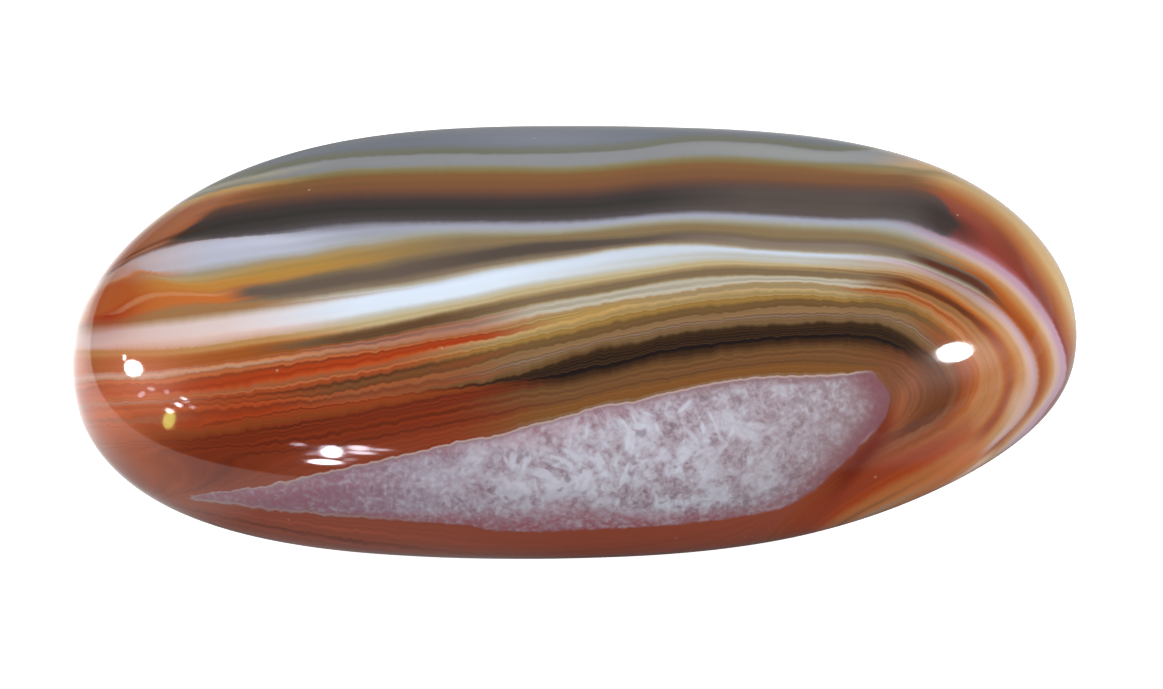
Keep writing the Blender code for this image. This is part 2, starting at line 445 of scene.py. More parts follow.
# Thin streaks along the bands: (level, half width in levels, x of the start and of the end, half the
# softness of the ends in pixels, strength, colour)
STREAKS = (
    (3.90, 0.12, 105, 178, 8, 0.85, MAROON),
    (3.45, 0.10, 112, 196, 16, 0.55, MAROON),
    (3.70, 0.07, 120, 170, 14, 0.5, SALMON),
    (4.45, 0.40, 60, 132, 12, 0.85, SIENNA),
    (4.85, 0.16, 60, 170, 16, 0.85, ORANGE),
    (5.35, 0.45, 200, 390, 70, 0.75, GOLDEN),
    (4.40, 0.50, 60, 185, 30, 0.45, SHELL_PINK),
    (5.40, 0.50, 60, 145, 20, 0.6, ORANGE_RED),
    (6.00, 0.10, 112, 222, 14, 0.45, PEACH),
    (1.50, 0.32, 700, 880, 50, 0.6, MIST),
    (2.20, 0.14, 850, 940, 50, 0.5, PALE_OCHRE),
    (3.55, 0.50, 700, 915, 50, 0.6, DUSK_BROWN),
    (3.60, 0.30, 925, 975, 12, 0.6, PITCH),
    (6.30, 0.26, 440, 640, 50, 0.6, SOOT),
    (6.55, 0.40, 700, 900, 50, 0.6, PALE_FAWN),
    (7.40, 0.32, 290, 570, 70, 0.85, ICE),
    (7.65, 0.34, 690, 860, 50, 0.7, CHALK),
    (7.70, 0.40, 830, 930, 30, 0.5, WHEAT),
    (8.75, 0.25, 790, 920, 40, 0.7, HAZEL),
    (9.50, 0.62, 290, 480, 50, 0.8, DARK_COFFEE),
    (10.60, 0.42, 320, 500, 30, 0.75, ROSE_TAN),
    (10.65, 0.35, 60, 180, 30, 0.5, SHELL_PINK),
    (11.70, 0.55, 530, 640, 40, 0.6, GOLDEN),
    (11.02, 0.12, 60, 300, 50, 0.5, PINK_SAND),
    (11.75, 0.22, 150, 520, 40, 0.6, SCARLET),
    (12.65, 0.14, 60, 170, 40, 0.4, PINK_SAND),
    (12.85, 0.26, 300, 470, 40, 0.8, COFFEE),
    (13.30, 0.13, 300, 500, 40, 0.55, DARK_CHESTNUT),
    (13.60, 0.45, 310, 470, 40, 0.65, NUTMEG),
    (13.62, 0.14, 80, 170, 30, 0.5, SALMON),
    (13.98, 0.12, 415, 600, 40, 0.8, COFFEE),
)

# Streaks that show only on the right shoulder of the bands, which is one soft patch
SHOULDER_STREAKS = (
    (6.45, 0.24, 915, 1000, 14, 0.95, MAROON),
    (7.45, 0.70, 925, 990, 20, 0.33, DUSK_BROWN),
    (8.30, 0.16, 850, 930, 20, 0.5, AMBER_BROWN),
    (9.00, 0.16, 850, 940, 20, 0.4, MAHOGANY),
    (9.55, 0.36, 888, 984, 20, 0.9, MAHOGANY),
    (10.35, 0.40, 858, 976, 24, 0.85, HAZEL),
    (11.36, 0.24, 820, 966, 24, 0.9, RUST_ORANGE),
    (12.00, 0.16, 862, 980, 20, 0.6, CLAY_ROSE),
    (12.20, 0.50, 840, 930, 24, 0.5, LEATHER),
)
SHOULDER_PLACE = ((928, 292, 88, 58, 32, 1.0),)
SHOULDER_EDGE = (0.15, 0.6)

# Where a streak's sides are full and gone, in half widths
STREAK_EDGE_IN = 0.5
STREAK_EDGE_OUT = 1.5

# The most stops that one colour ramp takes
RAMP_STOPS = 30

# Below, a range of two numbers gives 0 to 1, one of four is (from, to, value at from, value at to), and a
# pattern is ((noise scale per millimetre, detail, roughness), range)

# Ripples of the inner bands: noise size along X, Y and Z per millimetre, and how far they reach
RIPPLE_SCALE = (1.5, 0.6, 0.6)
RIPPLE_DETAIL = 1.5
RIPPLE_LEVELS = (8.5, 13.5)
RIPPLE_REACH_MM = (0.08, 0.42)
LEFT_RIPPLE_RISE = (560, 300, 1.0, 1.5)
CORE_EDGE_RIPPLE = 0.7

# Hair-thin lines along the bands, lighter and darker by turns
LINE_SCALE = 3.2
LINE_DETAIL = 4.0
LINE_STRENGTH = 1.5
LINE_FADE = ((0.25,), (0.35, 0.65, 0.5, 1.0))
LINE_LEVELS = (8.6, 12.0, 0.14, 1.0)
LEFT_LINE_RISE = (520, 380, 1.0, 1.6)
LEFT_END_CALM = (120, 280, 0.3, 1.0)
RIGHT_LINE_FALL = (880, 930, 1.0, 0.6)
LOWER_LINES = (300, 520, 1.0, 0.35)
LINE_CROWDING = (0.03, 0.20)
WIDE_BAND_START = 15.0
WIDE_BAND_LINES = 3.0

# The lines' height in metres, and where they flatten out before the core
LINE_RELIEF = 0.000003
RELIEF_LEVELS = (15.2, 15.8, 1.0, 0.0)

# Quartz core: colours as above
QUARTZ_GREY = (174, 163, 173)
QUARTZ_WHITE = (203, 205, 218)
QUARTZ_SHADE = (146, 127, 138)
QUARTZ_VIOLET = (154, 98, 108)
QUARTZ_LILAC = (138, 110, 128)
QUARTZ_DUSK = (138, 114, 116)
QUARTZ_WINE = (126, 78, 86)
QUARTZ_RIM_PALE = (182, 156, 150)
QUARTZ_RIM_VIOLET = (142, 118, 126)
QUARTZ_SPOT = (116, 96, 102)

# Quartz core: patterns of its grains, clouds, spots and uneven stain
QUARTZ_GRAINS = ((2.6, 2.0, 0.6), (0.36, 0.62))
QUARTZ_CLOUDS = ((0.5, 3.0, 0.65), (0.42, 0.60, 0.0, 0.6))
QUARTZ_SPOTS = ((1.0, 1.0), (0.64, 0.74, 0.0, 0.55))
QUARTZ_SPOT_SHIFT = (7.0, 3.0, 1.0)
QUARTZ_UNEVENNESS = ((2.4, 3.0), (0.34, 0.62, 0.5, 1.0))

# Needles in the quartz: their directions in degrees, and noise size along X, Y and Z per millimetre
NEEDLE_TURNS = (18, 62, 105, 148)
NEEDLE_SCALE = (0.28, 1.9, 0.8)
NEEDLE_STROKES = ((1.0, 1.0), (0.52, 0.64))
NEEDLE_PATCHES = ((0.4, 1.0), (0.47, 0.62))
NEEDLE_STRENGTH = 0.7

# Quartz core: stain by level, by x in the photograph and by side, which is 0 above the lower line and 1
# below it
QUARTZ_NEAR_RIM = (16.2, 18.1, 1.0, 0.0)
QUARTZ_BROWN_DEPTH = (16.4, 18.4, 1.0, 0.0)
QUARTZ_LEFT_LILAC = (540, 330, 0.0, 1.0)
QUARTZ_LEFT_TIP = (420, 240, 0.0, 1.0)
QUARTZ_BROWNING = (640, 710, 0.0, 1.1)
QUARTZ_RIGHT_TIP = (700, 860, 0.0, 0.9)
QUARTZ_WINE_RISE = (780, 865, 0.0, 0.9)
QUARTZ_VIOLET_SIDE = (0.0, 1.0, 0.5, 1.0)
QUARTZ_BROWN_SIDE = (0.0, 0.5, 1.0, 0.0)

# Quartz core: its rim, by depth in millimetres, by x and by side
QUARTZ_EDGE_SOFTNESS = (0.03, 0.10)
QUARTZ_LOWER_SOFTENING = (0.3, 0.8)
QUARTZ_RIM_LINE = (0.09, 0.17, 0.9, 0.0)
QUARTZ_RIM_SHADOW = (0.16, 0.42, 0.8, 0.0)
QUARTZ_RIM_END = (855, 876)
QUARTZ_LEFT_OUTLINE = (460, 330, 0.0, 0.6)
QUARTZ_UPPER_OUTLINE = (0.2, 0.6, 1.0, 0.0)

# Pale specks in the polish: cells per millimetre, radius in cells, and the chance that a cell has one
SPECK_SCALE = 0.42
SPECK_RADIUS = 0.03
SPECK_CHANCE = (0.60, 0.95, 0.0, 0.55)

# Polish of the stone
STONE_ROUGHNESS = 0.06
STONE_IOR = 1.54

# Light that the room's reflection adds to the stone's colours in the photograph, and the least that a
# colour keeps without it
SHEEN_ON_STONE = 0.012
DARKEST_STONE = 0.002

# Floor that the camera sees, just under the stone
FLOOR_SIZE = 8.0
FLOOR_GAP = 0.0002
FLOOR_COLOUR = (0.86, 0.86, 0.86, 1.0)
FLOOR_ROUGHNESS = 0.9
FLOOR_GLOW = 0.85

# Room around the stone: values by direction, as (degrees, value), where 0 is +Y, behind the stone, and 90
# is +X. A pale wall stands around the stone, taller on the right, under a ceiling that is dim overhead
BRIGHTEST_LIGHT = 3.0
WALL_LIGHT = (
    (-180, 0.3), (-150, 0.15), (-60, 0.1), (-40, 0.2), (-12, 0.4), (10, 0.35), (40, 0.4), (65, 0.8),
    (90, 0.9), (120, 0.6), (180, 0.3),
)
CEILING_LIGHT = ((-180, 0.2), (-130, 0.12), (-60, 0.1), (-35, 0.12), (10, 0.3), (180, 0.3))
ZENITH_LIGHT = 0.20

# Heights as the sine of the elevation: the wall's top and its softness, and the ceiling's two ends
WALL_TOP = (
    (-180, 0.10), (-120, 0.10), (-95, 0.0), (-60, 0.0), (-30, 0.10), (35, 0.10), (50, 0.22),
    (110, 0.22), (130, 0.10), (180, 0.10),
)
WALL_EDGE = 0.02
CEILING_RISE = (0.4, 0.9)

# Light of the floor as the stone mirrors it: near the stone, around it and past the sheet's edge
NEAR_FLOOR_LIGHT = (
    (-180, 0.4), (-150, 0.9), (-124, 0.9), (-111, 0.7), (-104, 0.8), (-96, 1.1), (-88, 1.6), (-83, 1.9),
    (-72, 2.3), (-60, 3.0), (-50, 1.4), (-42, 0.5), (-30, 0.25), (-18, 0.35), (12, 0.45), (30, 0.6),
    (50, 0.7), (75, 0.7), (100, 0.5), (180, 0.4),
)
FLOOR_LIGHT = (
    (-180, 0.5), (-150, 0.9), (-120, 1.0), (-104, 1.0), (-96, 1.2), (-88, 1.6), (-72, 1.9), (-60, 1.2),
    (-45, 0.5), (-15, 0.4), (10, 0.38), (40, 0.4), (65, 0.5), (90, 0.6), (120, 0.4), (180, 0.4),
)
DISTANT_LIGHT = (
    (-180, 0.5), (-160, 0.4), (-148, 0.15), (-60, 0.1), (-40, 0.15), (-15, 0.4), (10, 0.38), (40, 0.4),
    (65, 0.5), (90, 0.6), (120, 0.4), (180, 0.4),
)

# Where the light passes from one of these to the next, as distances from the stone's middle in metres;
# the first border is an oval, for which a length along X counts at the share of the flatness
NEAR_FLOOR_REACH = (0.036, 0.062)
SHEET_EDGE = (0.090, 0.104)
NEAR_FLOOR_FLATNESS = 0.62

# Softboxes, which light the stone evenly from above and from both ends and aren't seen in its polish:
# (place, size, radiance)
SOFTBOXES = (
    ((-0.05, -0.40, 1.2), 4.0, 0.88),
    ((1.15, -0.25, 0.5), 1.6, 1.0),
    ((-1.15, -0.40, 0.4), 1.6, 0.8),
)

# Card under the stone that is seen only in its polish, where it stands for the floor: dark in front of
# the stone, where the lower rim mirrors the stone's own shade
CARD_SIZE = 1.2
CARD_GAP = 0.0001
SHADE_SIDES = (-0.031, 0.035)
SHADE_ENDS = (-0.075, 0.0)
SHADE_SOFTNESS = 0.004
SHADE_DEPTH = 0.75

# Lamps, each seen in the polish as a highlight: (x, y, half length, half height, tilt in degrees,
# radiance, colour), in pixels
WHITE_LIGHT = (1.0, 1.0, 1.0)
LILAC_LIGHT = (0.92, 0.88, 1.0)
YELLOW_LIGHT = (0.80, 0.95, 0.20)
LAMPS = (
    (132.5, 368.5, 9, 7.5, 25, 70, WHITE_LIGHT), (124, 357, 1.6, 3, 0, 25, WHITE_LIGHT),
    (955, 352, 16, 8.5, -5, 120, WHITE_LIGHT),
    (184, 398, 3, 1.2, 30, 40, LILAC_LIGHT), (178, 404, 4, 1.3, 25, 40, LILAC_LIGHT),
    (151, 388, 4, 1.8, 10, 7, LILAC_LIGHT), (141, 394, 4, 2.5, -40, 7, LILAC_LIGHT),
    (166, 391, 3, 1.8, 20, 6, LILAC_LIGHT), (192, 406, 3, 2, 20, 8, LILAC_LIGHT),
    (168, 420, 6, 9, 15, 10, YELLOW_LIGHT), (169, 410, 4, 2.5, 20, 20, WHITE_LIGHT),
    (331, 451, 10, 6, 0, 60, LILAC_LIGHT), (324, 461.5, 17, 2.6, 3, 45, LILAC_LIGHT),
    (358, 447.5, 11, 2.5, 4, 22, LILAC_LIGHT), (360, 452, 13, 1.8, 3, 18, LILAC_LIGHT),
    (380, 449.5, 8, 1.2, 4, 12, LILAC_LIGHT), (298, 444, 7, 1.3, 5, 10, LILAC_LIGHT),
    (311, 453, 6, 1.5, -5, 5, LILAC_LIGHT), (349, 459, 7, 1.5, -4, 5, LILAC_LIGHT),
)
LAMP_DISTANCE = 1.3
LAMP_REACH_PIXELS = 8

# How a mirrored direction is found: over so many surface points near the pixel, with a softness in
# pixels, and with points on the far side counted as this far away
MIRROR_NEIGHBOURS = 4
MIRROR_BLUR = 0.1
OUT_OF_SIGHT = 1e6

# Glows, wide and soft: (x, y, tightness, radiance), in pixels
GLOWS = ((975, 358, 40, 1.8), (1030, 384, 30, 1.8), (150, 385, 40, 0.7))


def smooth_step(value):
    value = np.clip(value, 0.0, 1.0)
    return value * value * (3 - 2 * value)


def unit(vectors):
    return vectors / np.linalg.norm(vectors, axis=-1, keepdims=True)


def soft_noise(places, wavelength, seed):
    """Smooth noise of about -1 to 1 at each place, with features of about the given size."""
    draw = np.random.default_rng(seed)
    total = np.zeros(len(places))
    for _ in range(NOISE_WAVES):
        direction = draw.normal(size=places.shape[1])
        direction /= np.linalg.norm(direction) * wavelength * draw.uniform(*NOISE_WAVE_SPREAD)
        total += np.sin(2 * math.pi * (places @ direction + draw.uniform()))
    return total * math.sqrt(2 / NOISE_WAVES) / 2


def camera_axes():
    """The camera's right, up and backward directions."""
    back = np.array([
        math.sin(CAMERA_AZIMUTH) * math.cos(CAMERA_ELEVATION),
        -math.cos(CAMERA_AZIMUTH) * math.cos(CAMERA_ELEVATION),
        math.sin(CAMERA_ELEVATION),
    ])
    right = np.array([math.cos(CAMERA_AZIMUTH), math.sin(CAMERA_AZIMUTH), 0.0])
    return right, np.cross(back, right), back


def camera_place(middle):
    right, up, back = camera_axes()
    return middle + back * CAMERA_DISTANCE + right * CAMERA_TO_THE_RIGHT + up * CAMERA_UPWARDS


def photo_pixels(points, eye):
    """Where each point of the scene falls in the photograph."""
    right, up, back = camera_axes()
    rays = points - eye
    depth = -(rays @ back)
    x = (PHOTO_WIDTH - 1) / 2 + FOCAL_PIXELS * (rays @ right) / depth
    y = (PHOTO_HEIGHT - 1) / 2 - FOCAL_PIXELS * (rays @ up) / depth
    return x, y


def cube_mesh():
    """A cube from -1 to 1 with each side divided into a fine grid."""
    mesh = bmesh.new()
    bmesh.ops.create_cube(mesh, size=2.0)
    for axis, facets in enumerate(FACETS_ALONG_AXES):
        edges = [edge for edge in mesh.edges if edge.verts[0].co[axis] != edge.verts[1].co[axis]]
        bmesh.ops.subdivide_edges(mesh, edges=edges, cuts=facets - 1, use_grid_fill=True)
    surface = bpy.data.meshes.new("agate_surface")
    mesh.to_mesh(surface)
    mesh.free()
    return surface


def vertex_vectors(surface, name):
    values = np.empty(len(surface.vertices) * 3)
    surface.vertices.foreach_get(name, values)
    return values.reshape(-1, 3)


def outline_factor(angle):
    """How much wider than the plain rounded form the stone is, at each angle around its plan."""
    tip = LENGTH / 2
    factor = 1.0
    for lobes, cosine_swell, sine_swell in OUTLINE_SWELLS:
        factor = factor + cosine_swell / tip * np.cos(lobes * angle)
        factor = factor + sine_swell / tip * np.sin(lobes * angle)
    return factor


def rounded_form(corners):
    """Blow a cube's points up into the stone's rounded form, around its middle."""
    direction = unit(np.tan(corners * math.pi / 4))
    along = np.abs(direction[:, 0]) ** PLAN_FULLNESS
    across = np.abs(direction[:, 1]) ** PLAN_FULLNESS
    plan = (along + across) ** (SIDE_FULLNESS / PLAN_FULLNESS)
    reach = (plan + np.abs(direction[:, 2]) ** SIDE_FULLNESS) ** (-1 / SIDE_FULLNESS)
    angle = np.arctan2(
        np.copysign(np.sqrt(across), direction[:, 1]), np.copysign(np.sqrt(along), direction[:, 0])
    )
    spread = reach * outline_factor(angle)
    height = np.where(direction[:, 2] > 0, CROWN_HEIGHT, BELLY_DEPTH)
    return direction * np.stack([LENGTH / 2 * spread, WIDTH / 2 * spread, height * reach], axis=1)


def polish_by_hand(form):
    """Give the rounded form a slight waviness and grind its resting spot flat."""
    waves = POLISH_WAVE_HEIGHT * soft_noise(form, POLISH_WAVELENGTH, POLISH_SEED)
    form = form + unit(form) * waves[:, None]
    form[:, 2] = np.maximum(form[:, 2], FLAT_DEPTH - BELLY_DEPTH)
    return form


def fit_to_frame(form):
    """Scale and move the form so that it fills the CAD solid's box; also return its middle."""
    low, high = [np.array(corner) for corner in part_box(STONE_NODE)]
    scale = (high - low) / (form.max(axis=0) - form.min(axis=0))
    middle = low - form.min(axis=0) * scale
    return form * scale + middle, middle


def around_heart(x, y):
    """A pixel's direction and distance from the heart, with the picture squeezed to the rings' shape."""
    sideways = (x - HEART[0]) * RING_FLATNESS
    upwards = HEART[1] - y
    return np.arctan2(upwards, sideways), np.hypot(sideways, upwards)


def ring_radius(edge, angle):
    """How far a ring is from the heart in each direction, on a smooth closed curve through its points."""
    corner_angle, corner_radius = around_heart(*np.array(edge, float).T)
    order = np.argsort(corner_angle)
    turn = 2 * math.pi
    at = corner_angle[order]
    at = np.concatenate([at[-2:] - turn, at, at[:2] + turn])
    radius = corner_radius[order]
    radius = np.concatenate([radius[-2:], radius, radius[:2]])
    gap = np.diff(at)
    slope = np.diff(radius) / gap
    tangent = np.zeros(len(at))
    tangent[1:-1] = (slope[:-1] * gap[1:] + slope[1:] * gap[:-1]) / (gap[:-1] + gap[1:])
    first = np.clip(np.searchsorted(at, angle) - 1, 0, len(gap) - 1)
    step = gap[first]
    part = (angle - at[first]) / step
    rest = 1 - part
    return (
        rest * rest * ((1 + 2 * part) * radius[first] + part * step * tangent[first])
        + part * part * ((1 + 2 * rest) * radius[first + 1] - rest * step * tangent[first + 1])
    )


def closed_ring(number):
    """A band edge, closed by the side that faces the floor, further out for the outer bands."""
    spread = 1 + FLOOR_SIDE_SPREAD * (QUARTZ_LEVEL - 1 - number)
    floor_side = [
        (HEART[0] + (x - HEART[0]) * spread, HEART[1] + (y - HEART[1]) * spread) for x, y in FLOOR_SIDE
    ]
    return list(BAND_EDGES[number]) + floor_side


def core_depth(x, y):
    """How far inside the quartz core each pixel is, towards the heart, and below zero outside it."""
    angle, distance = around_heart(x, y)
    squeeze = np.hypot(np.cos(angle) / RING_FLATNESS, np.sin(angle))
    return (ring_radius(QUARTZ_EDGE, angle) - distance) * squeeze


def band_level(x, y):
    """The level at each pixel: whole numbers on the band edges, and above 16 in the quartz core."""
    angle, distance = around_heart(x, y)
    outer = ring_radius(closed_ring(0), angle)
    level = -(distance - outer) / OUTSIDE_LEVEL_PIXELS
    for number in range(1, QUARTZ_LEVEL + 1):
        edge = QUARTZ_EDGE if number == QUARTZ_LEVEL else closed_ring(number)
        inner = np.minimum(ring_radius(edge, angle), outer - THINNEST_BAND)
        inside = distance < outer
        level[inside] = (number - 1 + (outer - distance) / (outer - inner))[inside]
        outer = inner
    core = distance < outer
    level[core] = (QUARTZ_LEVEL + core_depth(x, y) / CORE_LEVEL_PIXELS)[core]
    return level


def below_line(x, y):
    line_y = np.interp(x, *zip(*LOWER_LINE))
    return smooth_step((y - line_y) / (2 * LOWER_LINE_SOFTNESS) + 0.5)


def patch_strength(x, y, patches):
    """How strongly a set of soft elliptical patches tints each pixel."""
    strongest = np.zeros(len(x))
    for patch_x, patch_y, half_length, half_height, tilt, strength in patches:
        turn = math.radians(tilt)
        along = (x - patch_x) * math.cos(turn) + (y - patch_y) * math.sin(turn)
        across = (y - patch_y) * math.cos(turn) - (x - patch_x) * math.sin(turn)
        away = (along / half_length) ** 2 + (across / half_height) ** 2
        strongest = np.maximum(strongest, strength * np.exp(-away))
    return strongest


def slope_at(field, x, y):
    """How much a field changes over one pixel."""
    here = field(x, y)
    return np.hypot(field(x + 1, y) - here, field(x, y + 1) - here)


def store(surface, name, values):
    surface.attributes.new(name, "FLOAT", "POINT").data.foreach_set("value", values.astype(np.float32))


def dress_surface(surface, points, eye):
    """Work out the bands at every vertex and store them on the mesh for the material."""
    x, y = photo_pixels(points, eye)
    facing = (vertex_vectors(surface, "normal") * unit(eye - points)).sum(axis=1)
    hidden = np.clip(-facing, 0, 1)
    x_drift, y_drift = [soft_noise(points, HIDDEN_DRIFT_WAVELENGTH, seed) for seed in HIDDEN_DRIFT_SEEDS]
    x = x + HIDDEN_DRIFT_PIXELS * hidden * x_drift
    y = y + HIDDEN_DRIFT_PIXELS * hidden * y_drift
    pixels_per_mm = FOCAL_PIXELS / CAMERA_DISTANCE / 1000
    core_slope = np.maximum(slope_at(core_depth, x, y), LEAST_CORE_SLOPE)
    store(surface, CORE_DEPTH, core_depth(x, y) / core_slope / pixels_per_mm)
    store(surface, LEVEL, band_level(x, y) - HIDDEN_LEVEL_SHIFT * hidden)
    store(surface, LEVELS_PER_MM, np.clip(slope_at(band_level, x, y), *LEVEL_SLOPES) * pixels_per_mm)
    store(surface, ALONG, x)
    store(surface, LOWER_STRETCH, below_line(x, y))
    store(surface, SHOULDER, patch_strength(x, y, SHOULDER_PLACE))
    seen = smooth_step(1 - PATCH_FADE * hidden)
    for name, _, patches in STAIN_AND_PAINTED_LIGHT_PATCHES:
        store(surface, name, patch_strength(x, y, patches) * seen)


def linear(colour):
    """A colour as the shader needs it: decoded from sRGB, and without the room's reflection on top."""
    channels = []
    for value in colour:
        share = value / 255
        light = share / 12.92 if share <= 0.04045 else ((share + 0.055) / 1.055) ** 2.4
        channels.append(max(light - SHEEN_ON_STONE, DARKEST_STONE))
    return (*channels, 1.0)


class Value:
    """The output of a shader node, which can be added, subtracted and multiplied like a number."""

    def __init__(self, socket):
        self.socket = socket

    def __add__(self, other):
        return calculate("ADD", self, other)

    def __sub__(self, other):
        return calculate("SUBTRACT", self, other)

    def __rsub__(self, other):
        return calculate("SUBTRACT", other, self)

    def __mul__(self, other):
        return calculate("MULTIPLY", self, other)

    def __abs__(self):
        return calculate("ABSOLUTE", self)


def tree_of(*values):
    """The node tree that the first node output among the values belongs to."""
    return next(value.socket.id_data for value in values if isinstance(value, Value))


def set_input(socket, value):
    if isinstance(value, Value):
        tree_of(value).links.new(value.socket, socket)
    else:
        socket.default_value = value


def set_inputs(node, **inputs):
    """Set a node's inputs by name, with underscores for the spaces in the names."""
    for name, value in inputs.items():
        set_input(node.inputs[name.replace("_", " ")], value)


def new_node(tree, kind, **inputs):
    node = tree.nodes.new("ShaderNode" + kind)
    set_inputs(node, **inputs)
    return node


def output(node, name):
    return Value(node.outputs[name])


def attribute(tree, name):
    node = new_node(tree, "Attribute")
    node.attribute_name = name
    return output(node, "Fac")


def calculate(operation, *terms):
    node = new_node(tree_of(*terms), "Math")
    node.operation = operation
    for socket, term in zip(node.inputs, terms):
        set_input(socket, term)
    return output(node, "Value")


def vector_calculate(operation, *vectors):
    node = new_node(tree_of(*vectors), "VectorMath")
    node.operation = operation
    for socket, vector in zip(node.inputs, vectors):
        set_input(socket, vector)
    return output(node, "Value" if operation in ("DOT_PRODUCT", "LENGTH") else "Vector")


def remap(value, low, high, to_low=0.0, to_high=1.0, smooth=False):
    node = new_node(tree_of(value), "MapRange")
    node.interpolation_type = "SMOOTHSTEP" if smooth else "LINEAR"
    for socket, given in zip(node.inputs, (value, low, high, to_low, to_high)):
        set_input(socket, given)
    return output(node, "Result")


def mix(factor, first, second, blend="MIX"):
    node = new_node(tree_of(factor, first, second), "Mix")
    node.data_type = "RGBA"
    node.blend_type = blend
    set_inputs(node, Factor=factor)
    colour_sockets = [socket for socket in node.inputs if socket.type == "RGBA"]
    set_input(colour_sockets[0], first)
    set_input(colour_sockets[1], second)
    return Value(next(socket for socket in node.outputs if socket.type == "RGBA"))


def red_of(colour):
    return output(new_node(tree_of(colour), "SeparateColor", Color=colour), "Red")


def noise(place, scale, detail=2.0, roughness=0.5):
    node = new_node(
        tree_of(place), "TexNoise", Vector=place, Scale=scale, Detail=detail, Roughness=roughness
    )
    return output(node, "Fac")


def pattern(place, texture, reach):
    """Noise of (scale, detail, roughness), remapped by (low, high, value at low, value at high)."""
    return remap(noise(place, *texture), *reach)


def line_noise(position, scale, detail=2.0):
    node = new_node(tree_of(position), "TexNoise")
    node.noise_dimensions = "1D"
    set_inputs(node, W=position, Scale=scale, Detail=detail)
    return output(node, "Fac")


def ramp(value, stops):
    """A colour that changes with a value, through stops of (value, linear colour)."""
    low, high = stops[0][0], stops[-1][0]
    node = new_node(tree_of(value), "ValToRGB", Fac=remap(value, low, high))
    elements = node.color_ramp.elements
    while len(elements) < len(stops):
        elements.new(0.5)
    for element, (place, _) in zip(elements, stops):
        element.position = (place - low) / (high - low)
    for element, (_, colour) in zip(elements, stops):
        element.color = colour
    return output(node, "Color")


def long_ramp(value, stops):
    """A long run of stops, cut into as many ramps as it needs."""
    result = ramp(value, stops[:RAMP_STOPS])
    for start in range(RAMP_STOPS - 1, len(stops) - 1, RAMP_STOPS - 1):
        further = ramp(value, stops[start:start + RAMP_STOPS])
        past = calculate("GREATER_THAN", value, stops[start][0])
        result = mix(past, result, further)
    return result


def layered(colour, layers):
    """Lay tints over a colour one after the other, each as (strength, colour): stains, and painted light in
    a few patches.
    """
    for strength, tint in layers:
        colour = mix(strength, colour, linear(tint))
    return colour


def band_colour_ramp(level, tint):
    return long_ramp(level, [(place, linear(colour)) for *places, colour in tint for place in places])


def millimetres(tree):
    place = output(new_node(tree, "TexCoord"), "Object")
    return vector_calculate("MULTIPLY", place, (1000.0, 1000.0, 1000.0))


def rippled(tree, place):
    """The level and the depth in the core, with the fine ripples that the inner bands have."""
    level = attribute(tree, LEVEL)
    ripple = noise(vector_calculate("MULTIPLY", place, RIPPLE_SCALE), 1.0, RIPPLE_DETAIL) - 0.5
    reach = remap(level, *RIPPLE_LEVELS, *RIPPLE_REACH_MM, smooth=True)
    calm = remap(level, QUARTZ_LEVEL - 1, QUARTZ_LEVEL, 1.0, CORE_EDGE_RIPPLE)
    leftwards = remap(attribute(tree, ALONG), *LEFT_RIPPLE_RISE)
    shift = ripple * reach * calm * leftwards
    return level + shift * attribute(tree, LEVELS_PER_MM), attribute(tree, CORE_DEPTH) + shift


def past_front(along, level, front):
    """0 before a stain's front and 1 past it; the stain runs further in some thin layers than in others."""
    width = PHOTO_WIDTH
    stops = [(place, (x / width, softness / width, 0.0, 1.0)) for place, x, softness in front]
    parts = new_node(tree_of(level), "SeparateColor", Color=long_ramp(level, stops))
    softness = output(parts, "Green") * width
    run = (line_noise(level, FRONT_LAYER_SCALE) - 0.5) * softness * FRONT_LAYER_RUN
    ahead = along - output(parts, "Red") * width + run
    return remap(ahead, softness * -1.0, softness, smooth=True)


def streak_strength(along, level, streak):
    middle, half_width, start, end, softness, strength = streak
    outer, inner = half_width * STREAK_EDGE_OUT, half_width * STREAK_EDGE_IN
    across = remap(abs(level - middle), outer, inner, smooth=True)
    begun = remap(along, start - softness, start + softness)
    ended = remap(along, end - softness, end + softness, strength, 0.0)
    return across * begun * ended


def agate_colour(tree, level):
    along = attribute(tree, ALONG)
    before_left = 1.0 - past_front(along, level, LEFT_FRONT)
    colour = mix(before_left, band_colour_ramp(level, MIDDLE_STAIN), band_colour_ramp(level, LEFT_STAIN))
    colour = mix(past_front(along, level, RIGHT_FRONT), colour, band_colour_ramp(level, RIGHT_STAIN_AND_RIM_LIGHT))
    colour = mix(attribute(tree, LOWER_STRETCH), colour, band_colour_ramp(level, LOWER_STAIN_AND_BOUNCE_LIGHT))
    shoulder = remap(attribute(tree, SHOULDER), *SHOULDER_EDGE)
    layers = [(attribute(tree, name), tint) for name, tint, _ in STAIN_AND_PAINTED_LIGHT_PATCHES]
    for *streak, tint in STREAKS:
        layers.append((streak_strength(along, level, streak), tint))
    for *streak, tint in SHOULDER_STREAKS:
        layers.append((streak_strength(along, level, streak) * shoulder, tint))
    return layered(colour, layers)


def fine_lines(tree, place, level):
    """Hair-thin lighter and darker lines along the bands, strongest in the inner ones."""
    past_wide = calculate("MAXIMUM", level - WIDE_BAND_START, 0.0)
    lines = line_noise(level + past_wide * WIDE_BAND_LINES, LINE_SCALE, LINE_DETAIL) - 0.5
    along = attribute(tree, ALONG)
    shares = (
        pattern(place, *LINE_FADE),
        remap(level, *LINE_LEVELS),
        remap(along, *LEFT_LINE_RISE),
        remap(along, *LEFT_END_CALM),
        remap(along, *RIGHT_LINE_FALL),
        remap(attribute(tree, LEVELS_PER_MM), *LINE_CROWDING),
        remap(attribute(tree, LOWER_STRETCH), 0.0, 1.0, 1.0, remap(along, *LOWER_LINES)),
    )
    return math.prod(shares, start=lines)


